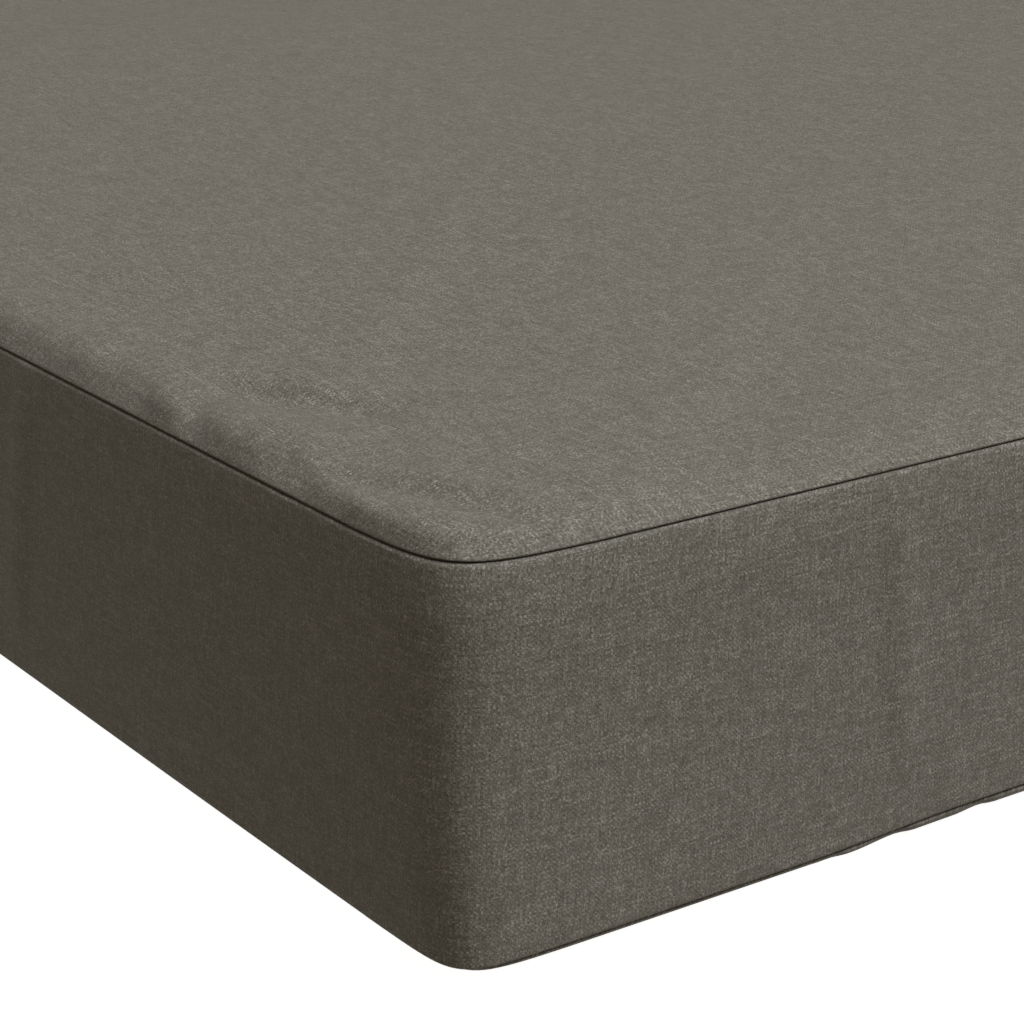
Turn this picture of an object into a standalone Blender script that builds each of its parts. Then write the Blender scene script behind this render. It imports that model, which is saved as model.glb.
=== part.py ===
"""Bench cushion: a long seat pad of a top panel, a bottom panel and a boxing band round its sides.

Metres, +Z up. The origin lies on the floor under the middle of the cushion.
X runs along its length and Y from its front to its back.
"""

from collections import namedtuple
from math import cos, exp, log, pi, radians, sin

import bmesh
import bpy

# Driving dimensions
LENGTH = 1.200
DEPTH = 0.600
BAND_HEIGHT = 0.070  # from the bottom seam to the top seam
SEAM_LIFT = 0.0032  # the bottom seam above the floor
CROWN = 0.0095  # the middle of the top above the top seam
CLOTH = 0.0020  # a panel's thickness
GAP = 0.0003  # between a panel and the body that it covers

# Plan: each corner is a soft curve that runs out into straight sides
CORNER_SOFTNESS = 0.0075  # the curve's scale, about 0.7 of its tightest radius
CORNER_GROWTH = 0.05  # how much softer the corner gets with each unit of inset
CORNER_RUN = 3.7  # the length of the curve, in units of its softness
CORNER_STEPS = 7
LONG_DRAW_IN = 0.0040  # how far the middle of a long side is pulled in
SHORT_DRAW_IN = 0.0020

# Stations along the sides: close together where the puckers are, and wider apart beyond them
FINE_STEP = 0.0055
COARSE_STEP = 0.042
STEP_GROWTH = 1.35
PUCKERED_RUN = 0.165  # how far from the near corner the fine stations reach

# Where the panels meet the band
SEAM_INSET = 0.0012  # the top seam behind the face of the band
BAND_LEAN = 0.0006  # how far the band's upper edge leans in
LEAN_HEIGHT = 0.012  # over this much of its height
EDGE_ROLL = 0.0011  # the small roll at each edge of the band

# How the panels roll over from their seams to the flat
TOP_ROLL_WIDTH = 0.0090
FRONT_ROLL_HEIGHT = 0.0046
END_ROLL_HEIGHT = 0.0070
REST_ROLL_WIDTH = 0.0140
TIGHT_ROLL_WIDTH = 0.0062
OUTER_ROLL_ANGLES = (0, 16, 36, 62, 90)
INNER_ROLL_ANGLES = (0, 34, 90)
CROWN_INSETS = (0.030, 0.080, 0.170)

# Dimples where the top seam gathers the near end's cloth: distances from the near corner
DIMPLE_PULL_IN = 0.5  # shares of a dimple's depth that move the cloth inwards and down
DIMPLE_PULL_DOWN = 0.6
Dimple = namedtuple("Dimple", "along half_width depth")
END_DIMPLES = (
    Dimple(0.010, 0.0045, 0.0010),
    Dimple(0.026, 0.0060, 0.0017),
    Dimple(0.045, 0.0045, 0.0010),
    Dimple(0.070, 0.0055, 0.0012),
    Dimple(0.095, 0.0070, 0.0018),
    Dimple(0.124, 0.0060, 0.0012),
    Dimple(0.152, 0.0060, 0.0014),
)
# Pinches along the front of the bottom seam, where the underside hangs in short scallops
Pinch = namedtuple("Pinch", "along half_width depth")
FRONT_PINCHES = (
    Pinch(0.083, 0.0035, 0.0050),
    Pinch(0.098, 0.0030, 0.0040),
    Pinch(0.118, 0.0030, 0.0045),
    Pinch(0.137, 0.0035, 0.0035),
)
SCALLOP_START = 0.080
SCALLOP_EASE = 0.006

BOTTOM_SEAM = SEAM_LIFT
TOP_SEAM = SEAM_LIFT + BAND_HEIGHT

Side = namedtuple("Side", "corner along inward length draw_in")
SIDES = {
    "front": Side((-1, -1), (1, 0), (0, 1), LENGTH, LONG_DRAW_IN),
    "far_end": Side((1, -1), (0, 1), (-1, 0), DEPTH, SHORT_DRAW_IN),
    "back": Side((1, 1), (-1, 0), (0, -1), LENGTH, LONG_DRAW_IN),
    "near_end": Side((-1, 1), (0, -1), (1, 0), DEPTH, SHORT_DRAW_IN),
}
LONG_SIDES = ("front", "back")

# A station is one place on the outline: on a corner's curve, turn runs from 1 to 0,
# and on a straight run, share runs from 0 to 1
Station = namedtuple("Station", "side turn share")


def softness(inset):
    return CORNER_SOFTNESS + CORNER_GROWTH * inset


def straight_length(side):
    return side.length - 2 * CORNER_RUN * CORNER_SOFTNESS


def graded_shares(length):
    """Shares of a straight run, close together up to the end of the puckers and then wider apart."""
    places = [FINE_STEP]
    step = FINE_STEP
    while places[-1] < length - step:
        if places[-1] > PUCKERED_RUN - CORNER_RUN * CORNER_SOFTNESS:
            step = min(step * STEP_GROWTH, COARSE_STEP)
        places.append(places[-1] + step)
    last = places[-1] + step
    return [place / last for place in places]


def even_shares(length):
    count = round(length / COARSE_STEP)
    return [step / count for step in range(1, count)]


def make_stations():
    """Every station in order round the cushion, from the near corner along the front."""
    stations = []
    for name, side in SIDES.items():
        last_turn = exp(-CORNER_RUN)
        for step in range(CORNER_STEPS):
            angle = pi / 2 * step / (CORNER_STEPS - 1)
            turn = 0.5 + (0.5 - last_turn) * cos(2 * angle)
            stations.append(Station(name, turn, None))
        shares = even_shares(straight_length(side))
        if name == "front":
            shares = graded_shares(straight_length(side))
        if name == "near_end":
            shares = [1 - share for share in reversed(graded_shares(straight_length(side)))]
        stations += [Station(name, None, share) for share in shares]
    return stations


def plan_point(station, inset):
    """The (x, y) of a station on the outline that lies this far inside the cushion's face."""
    side = SIDES[station.side]
    soft = softness(inset)
    if station.turn is None:
        run = CORNER_RUN * soft
        along = inset + run + station.share * (side.length - 2 * (inset + run))
        inward = inset + side.draw_in * sin(pi * along / side.length) ** 2
    else:
        along = inset - soft * log(station.turn)
        inward = inset - soft * log(1 - station.turn)
    return tuple(
        side.corner[axis] * size / 2 + side.along[axis] * along + side.inward[axis] * inward
        for axis, size in enumerate((LENGTH, DEPTH))
    )


def along_front(station):
    """How far a station on the front lies from the near corner, or None off the front."""
    if station.side != "front" or (station.turn or 0) >= 0.5:
        return None
    return plan_point(station, 0)[0] + LENGTH / 2


def along_near_end(station):
    """How far a station on the near end lies from the near corner, or None off the near end."""
    on_corner = station.side == "front" and (station.turn or 0) >= 0.5
    on_end = station.side == "near_end" and station.turn is None
    return plan_point(station, 0)[1] + DEPTH / 2 if on_corner or on_end else None


def end_share(station):
    """1 on the two ends, 0 on the long sides, and between them on the corners."""
    on_long_side = station.side in LONG_SIDES
    if station.turn is None:
        return 0.0 if on_long_side else 1.0
    return station.turn if on_long_side else 1 - station.turn


def bell(distance, half_width):
    return exp(-((distance / half_width) ** 2))


def dimple_depth(station):
    place = along_near_end(station)
    if place is None:
        return 0.0
    return sum(dimple.depth * bell(place - dimple.along, dimple.half_width) for dimple in END_DIMPLES)


def rest_roll_width(station):
    """The underside rolls wide at the ends and corners, and tightly along the front's scallops."""
    place = along_front(station)
    if place is None:
        return REST_ROLL_WIDTH
    tight = 1 / (1 + exp((SCALLOP_START - place) / SCALLOP_EASE))
    width = REST_ROLL_WIDTH + (TIGHT_ROLL_WIDTH - REST_ROLL_WIDTH) * tight
    return width + sum(pinch.depth * bell(place - pinch.along, pinch.half_width) for pinch in FRONT_PINCHES)


def top_roll_height(station):
    return FRONT_ROLL_HEIGHT + (END_ROLL_HEIGHT - FRONT_ROLL_HEIGHT) * end_share(station)


def top_roll_ring(stations, angle, cover, seam_gap):
    """One ring of the rolled edge of the top, under a cover of this thickness, above the top seam."""
    turn = radians(angle)
    ring = []
    for station in stations:
        sunk = dimple_depth(station) * sin(2 * turn)
        inset = SEAM_INSET + cover + (TOP_ROLL_WIDTH - cover) * (1 - cos(turn))
        rise = seam_gap + (top_roll_height(station) - cover - seam_gap) * sin(turn)
        place = plan_point(station, inset + DIMPLE_PULL_IN * sunk)
        ring.append((*place, TOP_SEAM + rise - DIMPLE_PULL_DOWN * sunk))
    return ring


def crown_ring(stations, inset, cover):
    """One ring of the crowned top, inside its rolled edge."""
    start = SEAM_INSET + TOP_ROLL_WIDTH
    level = (inset - start) / (CROWN_INSETS[-1] - start)
    ring = []
    for station in stations:
        height = top_roll_height(station)
        rise = height + (CROWN - height) * (1 - (1 - level) ** 2) - cover
        ring.append((*plan_point(station, inset), TOP_SEAM + rise))
    return ring


def top_rings(stations, angles, cover, seam_gap):
    rolled = [top_roll_ring(stations, angle, cover, seam_gap) for angle in angles]
    return rolled + [crown_ring(stations, inset, cover) for inset in CROWN_INSETS]


def bottom_rings(stations, angles, cover, seam_gap):
    """The rings of the underside, from the bottom seam in to the flat that rests on the floor."""
    rings = []
    for angle in angles:
        turn = radians(angle)
        ring = []
        for station in stations:
            inset = SEAM_INSET + cover + (rest_roll_width(station) - cover) * (1 - cos(turn))
            drop = seam_gap + (SEAM_LIFT - cover - seam_gap) * sin(turn)
            ring.append((*plan_point(station, inset), BOTTOM_SEAM - drop))
        rings.append(ring)
    return rings


def band_rings(stations):
    """The rings of the band's face, from the bottom seam up to the top seam."""
    levels = (
        (SEAM_INSET, BOTTOM_SEAM + GAP / 2),
        (0.0, BOTTOM_SEAM + EDGE_ROLL),
        (0.0, TOP_SEAM - LEAN_HEIGHT),
        (BAND_LEAN / 3, TOP_SEAM - LEAN_HEIGHT / 3),
        (BAND_LEAN, TOP_SEAM - EDGE_ROLL),
        (SEAM_INSET, TOP_SEAM - GAP / 2),
    )
    return [[(*plan_point(station, inset), height) for station in stations] for inset, height in levels]


def place_ring(verts, points):
    for vert, point in zip(verts, points):
        vert.co = point


def edges_of(bm, ring):
    """The edges that join the verts of a closed ring, in order."""
    return [bm.edges.get(pair) for pair in zip(ring, ring[1:] + ring[:1])]


def extruded_ring(bm, ring):
    """The new ring that an extrusion grows from this one, in the same order."""
    grown = set(bmesh.ops.extrude_edge_only(bm, edges=edges_of(bm, ring))["geom"])
    risers = [next(edge for edge in vert.link_edges if edge.other_vert(vert) in grown) for vert in ring]
    return [riser.other_vert(vert) for riser, vert in zip(risers, ring)]


def closed_skin(name, rings, material):
    """An object whose skin joins the rings in order, with a flat cap on the first and on the last."""
    bm = bmesh.new()
    ring = bmesh.ops.create_circle(bm, segments=len(rings[0]), radius=1.0, cap_ends=True)["verts"]
    place_ring(ring, rings[0])
    for points in rings[1:]:
        ring = extruded_ring(bm, ring)
        place_ring(ring, points)
    bmesh.ops.contextual_create(bm, geom=edges_of(bm, ring))
    bmesh.ops.recalc_face_normals(bm, faces=bm.faces)
    mesh = bpy.data.meshes.new(name)
    bm.to_mesh(mesh)
    bm.free()
    mesh.shade_smooth()
    mesh.set_sharp_from_angle(angle=radians(40))
    mesh.materials.append(material)
    cushion_piece = bpy.data.objects.new(name, mesh)
    bpy.context.scene.collection.objects.link(cushion_piece)
    return cushion_piece


def make_cloth(name, colour):
    """A matt woven cloth, given as linear colour."""
    material = bpy.data.materials.new(name)
    material.use_nodes = True
    shader = material.node_tree.nodes["Principled BSDF"]
    shader.inputs["Base Color"].default_value = (*colour, 1)
    shader.inputs["Roughness"].default_value = 0.95
    shader.inputs["Metallic"].default_value = 0.0
    return material


def clear_scene():
    for old in list(bpy.data.objects):
        bpy.data.objects.remove(old, do_unlink=True)


def make_boxed_body(stations):
    """The filled body, whose sides are the boxing band. Its top and underside lie under the panels."""
    cover = CLOTH + GAP
    under = bottom_rings(stations, INNER_ROLL_ANGLES, cover, -GAP / 2)
    over = top_rings(stations, INNER_ROLL_ANGLES, cover, -GAP / 2)
    cloth = make_cloth("band_cloth", (0.165, 0.155, 0.130))
    return closed_skin("boxed_body", under[::-1] + band_rings(stations) + over, cloth)


def make_top_panel(stations):
    """A sheet of cloth: its outer skin from the middle to the seam, and its inner skin back again."""
    outer = top_rings(stations, OUTER_ROLL_ANGLES, 0.0, GAP / 2)
    inner = top_rings(stations, INNER_ROLL_ANGLES, CLOTH, GAP / 2)
    cloth = make_cloth("top_cloth", (0.175, 0.164, 0.138))
    return closed_skin("top_panel", outer[::-1] + inner, cloth)


def make_bottom_panel(stations):
    """The same under the body, flat where it rests."""
    outer = bottom_rings(stations, OUTER_ROLL_ANGLES, 0.0, GAP / 2)
    inner = bottom_rings(stations, INNER_ROLL_ANGLES, CLOTH, GAP / 2)
    cloth = make_cloth("bottom_cloth", (0.160, 0.150, 0.126))
    return closed_skin("bottom_panel", outer[::-1] + inner, cloth)


def main():
    clear_scene()
    stations = make_stations()
    make_boxed_body(stations)
    make_top_panel(stations)
    make_bottom_panel(stations)


main()
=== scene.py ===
"""Dresses the bench cushion: its woven cover over a firm filling, on a pale studio floor.

Metres, +Z up. X runs along the cushion and Y from its front to its back. The near corner is the one
at the lowest X and Y, which faces the camera.
"""

import random
from collections import namedtuple
from functools import partial
from math import cos, exp, hypot, log, pi, radians, sin, tan

import bmesh
import bpy
import numpy as np
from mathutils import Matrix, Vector


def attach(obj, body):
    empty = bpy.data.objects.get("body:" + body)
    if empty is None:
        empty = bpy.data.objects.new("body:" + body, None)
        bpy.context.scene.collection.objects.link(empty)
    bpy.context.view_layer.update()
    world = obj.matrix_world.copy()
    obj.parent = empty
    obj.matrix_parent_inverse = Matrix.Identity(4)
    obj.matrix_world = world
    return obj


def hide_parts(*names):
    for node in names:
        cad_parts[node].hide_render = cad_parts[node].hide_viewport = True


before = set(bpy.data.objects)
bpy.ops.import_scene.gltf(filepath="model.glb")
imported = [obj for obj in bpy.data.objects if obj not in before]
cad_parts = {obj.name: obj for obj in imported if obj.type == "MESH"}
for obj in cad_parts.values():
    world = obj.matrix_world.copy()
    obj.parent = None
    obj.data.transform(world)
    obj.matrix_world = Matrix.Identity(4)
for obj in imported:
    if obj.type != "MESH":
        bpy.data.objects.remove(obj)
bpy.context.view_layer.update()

bl_info = {
    "name": "Bench cushion cover",
    "version": (1, 0, 0),
    "blender": (4, 5, 0),
    "location": "3D View > Sidebar > Cushion",
    "description": "Sews the woven cover of a boxed bench cushion and sets it in a studio",
    "category": "Object",
}

MM = 0.001

# The outline, the same as the solids have
SEAM_LIFT = 3.2 * MM  # how far the bottom seam is above the floor
TOP_SOFTNESS = 6.9 * MM  # the scale of a corner's curve, about 0.7 of its tightest radius
BOTTOM_SOFTNESS = 4.0 * MM
CORNER_GROWTH = 0.05  # how much softer a corner gets with each unit of inset
CORNER_RUN = 3.7  # the length of the curve, in units of its softness
LONG_DRAW_IN = 4.0 * MM  # how far the middle of a long side is pulled in
SHORT_DRAW_IN = 2.0 * MM

# Stations round the cushion
CORNER_STEPS = 25
FINE_STEP = 1.7 * MM
COARSE_STEP = 4.2 * MM
STEP_GROWTH = 1.12
FINE_RUN = 170 * MM  # how far from the near corner the fine stations reach

# The seams: both cloths turn in and meet in a narrow groove
BAND_LEAN = 0.9 * MM  # how far the band's upper edge leans in
LEAN_HEIGHT = 12 * MM
END_TUCK = 1.9 * MM  # how far the foot of the end bands is drawn in
TUCK_HEIGHT = 45 * MM
END_BAND_LIP = 0.8 * MM  # radius of the band's turned edge
FRONT_BAND_LIP = 0.9 * MM
PANEL_LIP = 0.31 * MM
SEAM_GAP = 0.22 * MM  # between the two cloths in the groove
PANEL_CLOTH = 1.5 * MM  # a panel's cloth with its turned edge
BODY_CLEARANCE = 0.4 * MM  # between a panel and the filled body under it

# The rolled edge of the top: it rises from its seam on a straight slope, bends over, and then eases
# out in a wider bend that meets the crown
Roll = namedtuple("Roll", "tilt slope bend eased wide_bend")
END_ROLL = Roll(radians(48), 3.1 * MM, 9.5 * MM, radians(8), 40 * MM)
CORNER_ROLL = Roll(radians(50), 2.2 * MM, 5.6 * MM, radians(10), 60 * MM)
LONG_ROLL = Roll(radians(31), 0.7 * MM, 6.5 * MM, radians(11), 92 * MM)
ROLL_SLOPE = radians(0.6)  # where the roll meets the crown
CORNER_REACH_ON_END = 30 * MM  # how far the corner's roll takes to become the side's
CORNER_REACH_ON_LONG = 26 * MM
CROWN_INSET = 200 * MM  # where the crown has levelled out
CROWN_FINE_RINGS = 17
CROWN_FINE_GAP = 1.9 * MM
CROWN_GROWTH = 1.22  # from one gap between the crown's rings to the next, after the fine ones
LAST_INSET = 222 * MM  # the last ring of the crown
ROLL_REACH = 10 * MM  # about how far the rolled edge reaches inside the face
LEAST_GAP = 2 * MM  # between the crown's last two rings
MIDDLE_CELL = 30 * MM
SAG_START = 0.5 * MM  # the crown can sag from this far above the top seam
SAG_FULL = 5.5 * MM  # and sags in full from here

# The underside
REST_ROLL_WIDTH = 14.0 * MM
REST_FLAT_SHARE = 0.8  # how wide the roll's cloth is laid out, for each unit of the roll's width
REST_TUCK = 2.2 * MM  # how far behind the face of the end bands the underside starts
LONG_TUCK = 0.9 * MM  # and behind the face of the long bands
SCALLOP_TUCK = 0.3 * MM  # and between the pinches of the front
LONG_SEAM_RISE = 0.65 * MM  # how much higher the bottom seam of the long sides is
SCALLOP_SEAM_RISE = 0.95 * MM  # and how much more over the scallops
SCALLOP_RISE_RUN = 36 * MM
REST_ANGLES = (0, 2, 4, 8, 16, 26, 38, 50, 62, 76, 90)  # on the roll, from the seam to the floor
REST_LEADS = {0: 1.1 * MM, 2: 0.3 * MM}  # how much further in the turned edge at the seam lies
REST_INSETS = (24 * MM, 40 * MM, 80 * MM, 140 * MM, 222 * MM)

# The inner layers, under a panel's face, are plainer than the face
INNER_STRIDE = 3
INNER_REST_ANGLES = (0, 34, 90)
INNER_REST_INSETS = (40 * MM, 140 * MM)

# The cloth simulation of the top
PANEL_EDGE = 5 * MM  # from the cushion's face to where the panel is held
CLOTH_CELL = 8 * MM
CLOTH_FRAMES = 20
CLOTH_PRESSURE = 4.0
LARGER_CUT = 0.004  # how much larger the panel is cut than the space between its seams
START_UNEVENNESS = 0.3 * MM
UNEVENNESS_SEED = 5
RIPPLE_CELLS = 4  # ripples are what stands out from the mean over about this many cells
RIPPLE_SHARE = 0.3  # how much of a ripple the firm filling leaves
RIPPLE_LIMIT = 0.25 * MM

YARN_COLOURS = {"darkest": "#5d5951", "taupe": "#74726a", "grey": "#7d7b74", "lightest": "#a8a59f"}

# The studio, with directions and places from the cushion's middle
FILL_COLOUR = "#ffedc8"
FLOOR_REACH = 30.0
KEY_SIZE = 10.0
KEY_DISTANCE = 14.0
KEY_DIRECTION = (0.24, -0.465, 0.86)
KEY_AIM = (-0.4, -0.1, 0.05)
CAMERA_FROM_CORNER = (-0.2209, -0.3303, 0.2168)  # from the near corner of the bottom seam
CAMERA_YAW = radians(35.21)
CAMERA_PITCH = radians(18.82)


def linear(hex_colour):
    """An sRGB hex colour as the linear colour that a shader takes."""
    channels = [int(hex_colour[start : start + 2], 16) / 255 for start in (1, 3, 5)]
    return (*(c / 12.92 if c <= 0.04045 else ((c + 0.055) / 1.055) ** 2.4 for c in channels), 1.0)


def measure(name, description, default, precision=3):
    """A setting in metres."""
    return bpy.props.FloatProperty(
        name=name, description=description, default=default, precision=precision, unit="LENGTH"
    )


class CushionSizes(bpy.types.PropertyGroup):
    """The cushion's main sizes"""

    length: measure("Length", "Along the front, over the band", 1.200)
    depth: measure("Depth", "From the front to the back, over the band", 0.600)
    band_height: measure("Band height", "From the bottom seam to the top seam", 0.070)
    crown: measure("Crown", "How far the middle of the top stands above the top seam", 0.0095)


class CushionCloth(bpy.types.PropertyGroup):
    """The woven cloth of the cover"""

    warp_pitch: measure("Warp pitch", "From one upright thread to the next", 0.00041, 5)
    weft_pitch: measure("Weft pitch", "From one crossways thread to the next", 0.00042, 5)


class CushionStudio(bpy.types.PropertyGroup):
    """The floor, light and camera"""

    focal_length: bpy.props.FloatProperty(
        name="Focal length",
        description="Of the camera's lens, in millimetres on a 36 mm frame",
        default=97.03,
    )
    key_power: bpy.props.FloatProperty(
        name="Key light",
        description="Power of the large soft light above the front",
        default=1815.0,
        unit="POWER",
    )
    fill_strength: bpy.props.FloatProperty(
        name="Fill light",
        description="Strength of the even light from all round",
        default=0.163,
    )


# ---------------------------------------------------------------- outline and stations
Side = namedtuple("Side", "name corner along inward length draw_in")
# On a corner's curve, turn runs from 0 to a quarter turn, and on a straight run, share runs from 0 to 1
Station = namedtuple("Station", "side turn share")


def mix(low, high, share):
    return low + (high - low) * share


def bell(distance, half_width):
    """1 at no distance, falling off on both sides."""
    return exp(-((distance / half_width) ** 2))


def smooth_step(low, high, value):
    """0 up to low and 1 from high, with a smooth rise between them."""
    share = min(max((value - low) / (high - low), 0.0), 1.0)
    return share * share * (3 - 2 * share)


def graded_shares(length):
    """Shares of a straight run, close together near its start and then wider apart."""
    places = [FINE_STEP]
    step = FINE_STEP
    while places[-1] < length - step:
        if places[-1] > FINE_RUN - CORNER_RUN * TOP_SOFTNESS:
            step = min(step * STEP_GROWTH, COARSE_STEP)
        places.append(places[-1] + step)
    last = places[-1] + step
    return [place / last for place in places]


def even_shares(length):
    """Shares of a straight run, evenly spaced."""
    count = round(length / COARSE_STEP)
    return [step / count for step in range(1, count)]


class Outline:
    """The cushion seen from above: four sides, and the stations on them in order."""

    def __init__(self, sizes):
        self.sizes = sizes
        self.sides = (
            Side("front", (-1, -1), (1, 0), (0, 1), sizes.length, LONG_DRAW_IN),
            Side("far end", (1, -1), (0, 1), (-1, 0), sizes.depth, SHORT_DRAW_IN),
            Side("back", (1, 1), (-1, 0), (0, -1), sizes.length, LONG_DRAW_IN),
            Side("near end", (-1, 1), (0, -1), (1, 0), sizes.depth, SHORT_DRAW_IN),
        )
        self.stations = [station for side in self.sides for station in self.stations_on(side)]
        self.girth, self.places = self.measured()

    @staticmethod
    def stations_on(side):
        """A side's stations: the corner at its start and then its straight run."""
        turns = [pi / 2 * step / (CORNER_STEPS - 1) for step in range(CORNER_STEPS)]
        corner = [Station(side, turn, None) for turn in turns]
        run = side.length - 2 * CORNER_RUN * TOP_SOFTNESS
        shares = even_shares(run)
        if side.name == "front":
            shares = graded_shares(run)
        if side.name == "near end":
            shares = [1 - share for share in reversed(graded_shares(run))]
        return corner + [Station(side, None, share) for share in shares]

    def point(self, station, inset, height=1.0):
        """The (x, y) of a station on the outline that lies this far inside the cushion's face.

        Corners are softer at the top seam, where height is 1, than at the bottom seam, where it is 0.
        """
        side = station.side
        soft = mix(BOTTOM_SOFTNESS, TOP_SOFTNESS, height) + CORNER_GROWTH * inset
        run = CORNER_RUN * (TOP_SOFTNESS + CORNER_GROWTH * inset)
        if station.turn is None:
            along = inset + run + station.share * (side.length - 2 * (inset + run))
            fade = max(1 - inset / LAST_INSET, 0.0)
            inward = inset + side.draw_in * fade * sin(pi * along / side.length) ** 2
        else:
            part = 0.5 + (0.5 - exp(-run / soft)) * cos(2 * station.turn)
            along = inset - soft * log(part)
            inward = inset - soft * log(1 - part)
        return tuple(
            side.corner[axis] * size / 2 + side.along[axis] * along + side.inward[axis] * inward
            for axis, size in enumerate((self.sizes.length, self.sizes.depth))
        )

    def measured(self, height=1.0):
        """The girth, and how far round it each station lies, from the middle of the back."""
        spots = [self.point(station, 0, height) for station in self.stations]
        places = [0.0]
        for spot, following in zip(spots, spots[1:] + spots[:1]):
            places.append(places[-1] + hypot(following[0] - spot[0], following[1] - spot[1]))
        girth = places.pop()
        # From the front's start: the front, the far end and half of the back
        back_middle = self.sizes.length * 1.5 + self.sizes.depth
        return girth, [(place - back_middle) % girth for place in places]

    def places_at(self, height):
        """The places round the girth at this height, the same on the straight runs at every height."""
        _, here = self.measured(height)
        places = list(self.places)
        for start, station in enumerate(self.stations):
            if station.turn != 0.0:
                continue
            end = start + CORNER_STEPS - 1
            stretch = (self.places[end] - self.places[start]) / (here[end] - here[start])
            for index in range(start, end):
                places[index] = self.places[start] + (here[index] - here[start]) * stretch
        return places

    def end_share(self, station):
        """1 on the two ends, 0 on the long sides, and between them on the corners."""
        on_long_side = station.side.name in ("front", "back")
        if station.turn is None:
            return 0.0 if on_long_side else 1.0
        turned_in = 0.5 + 0.5 * cos(2 * station.turn)
        return turned_in if on_long_side else 1 - turned_in

    def roll(self, station):
        """The rolled edge of the top at a station."""
        if station.turn is not None:
            return CORNER_ROLL
        from_corner = min(station.share, 1 - station.share) * station.side.length
        side_roll, reach = END_ROLL, CORNER_REACH_ON_END
        if station.side.name in ("front", "back"):
            side_roll, reach = LONG_ROLL, CORNER_REACH_ON_LONG
        share = smooth_step(0.0, reach, from_corner)
        return Roll(*(mix(corner, side, share) for corner, side in zip(CORNER_ROLL, side_roll)))

    def run_of(self, station):
        """The name of the side whose face a station is on, and its distance from that side's start."""
        side = station.side
        if station.turn is not None and station.turn <= pi / 4:
            side = self.sides[self.sides.index(side) - 1]
        spot = self.point(station, 0)
        corner = (side.corner[0] * self.sizes.length / 2, side.corner[1] * self.sizes.depth / 2)
        return side.name, sum((spot[k] - corner[k]) * side.along[k] for k in range(2))


# ---------------------------------------------------------------- folds
# A lobe of the rolled edge, which stands steeper there: its distance from the near corner, or from
# the start of another side, and how much steeper it is
Lobe = namedtuple("Lobe", "along half_width tilt")
NEAR_END_LOBES = [
    Lobe(along * MM, half_width * MM, radians(tilt))
    for along, half_width, tilt in (
        (5, 8.0, 12),
        (16, 5.5, 8),
        (26, 5.0, 14),
        (36, 3.5, 6),
        (50, 7.0, -9),
        (69, 7.5, 9),
        (84, 4.0, -8),
        (95, 7.0, 11),
        (114, 5.0, -4),
        (131, 7.0, 2),
        (157, 9.0, 3),
    )
]
LOBE_REACH = 30 * MM  # beyond this, a lobe is left out

# Where the photo no longer shows the lobes, they are scattered: where they start on a side, the usual step
# from one to the next, and the steepest tilt
SCATTER_SEED = 11
Scatter = namedtuple("Scatter", "start step tilt")
SCATTERS = {
    "near end": Scatter(182 * MM, 26 * MM, radians(20)),
    "far end": Scatter(12 * MM, 26 * MM, radians(20)),
    "front": Scatter(150 * MM, 38 * MM, radians(7)),
    "back": Scatter(12 * MM, 38 * MM, radians(7)),
}
SCATTER_END = 20 * MM  # how far before the end of a side they stop
SCATTER_STEPS = (0.65, 1.5)  # the least and most, for each unit of the usual step
SCATTER_TILTS = (-0.4, 1.0)  # and of the steepest tilt
SCATTER_WIDTHS = (5.0, 9.0)  # in mm

# Fine gathers lie side by side on the near end: the least and most of each measure, in mm and degrees
GATHER_START = 3 * MM
GATHER_STEPS = (4.0, 7.0)
GATHER_WIDTHS = (1.9, 2.8)
GATHER_TILTS = (-3.5, 3.5)

# A pinch draws the underside in at its seam: the cloth tapers towards it from before, and bulges just
# after it
Pinch = namedtuple("Pinch", "along before after depth")
FRONT_PINCHES = [
    Pinch(*(size * MM for size in sizes))
    for sizes in (
        (80.5, 4.0, 5.0, 0.6),
        (96.5, 10.0, 5.5, 0.9),
        (118.0, 6.5, 4.0, 0.7),
        (138.0, 7.0, 5.0, 0.6),
    )
]
SCALLOP_START = 80 * MM
SCALLOP_EASE = 4 * MM
# Beyond these, pinches are scattered too
PINCH_GAP = 20 * MM  # from the last of these to the first scattered one
PINCH_END = 30 * MM  # how far before the end of the front they stop
PINCH_STEPS = (14, 30)  # the least and most, in mm
PINCH_AFTERS = (3.5, 5.5)
PINCH_DEPTHS = (0.4, 0.9)

# A soft trough across the top, or a low crest where its depth is negative: its points as (x, y) in mm
# from the near corner, and its widths on the left and right of that route
Trough = namedtuple("Trough", "points left_width right_width depth")
TROUGHS = (
    Trough(((33, 60), (30, 69), (26, 78), (21, 88), (18, 98), (15, 109)), 10.0 * MM, 4.0 * MM, 2.6 * MM),
    Trough(((24, 1), (21, 10), (16, 26), (10, 40), (4, 51)), 5.5 * MM, 2.5 * MM, 1.7 * MM),
    Trough(((68, 168), (59, 173), (47, 179), (37, 187), (30, 191)), 6.0 * MM, 6.0 * MM, -0.45 * MM),
)
TROUGH_FADE = 0.35  # the share of the route over which a trough sinks in and runs out
TROUGH_REACH = 3  # beyond this many of its widths, a trough is left out

# An upright ridge in the band: (place, height above the bottom seam) of its lower and upper end
Ridge = namedtuple("Ridge", "run low high near_width far_width lift")
RIDGES = (
    Ridge("front", (98 * MM, 14 * MM), (94.5 * MM, 66 * MM), 2.6 * MM, 5.0 * MM, 0.68 * MM),
    Ridge("near end", (162 * MM, 12 * MM), (150 * MM, 68 * MM), 4.0 * MM, 5.0 * MM, 0.6 * MM),
)
RIDGE_FADE = 9 * MM


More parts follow.
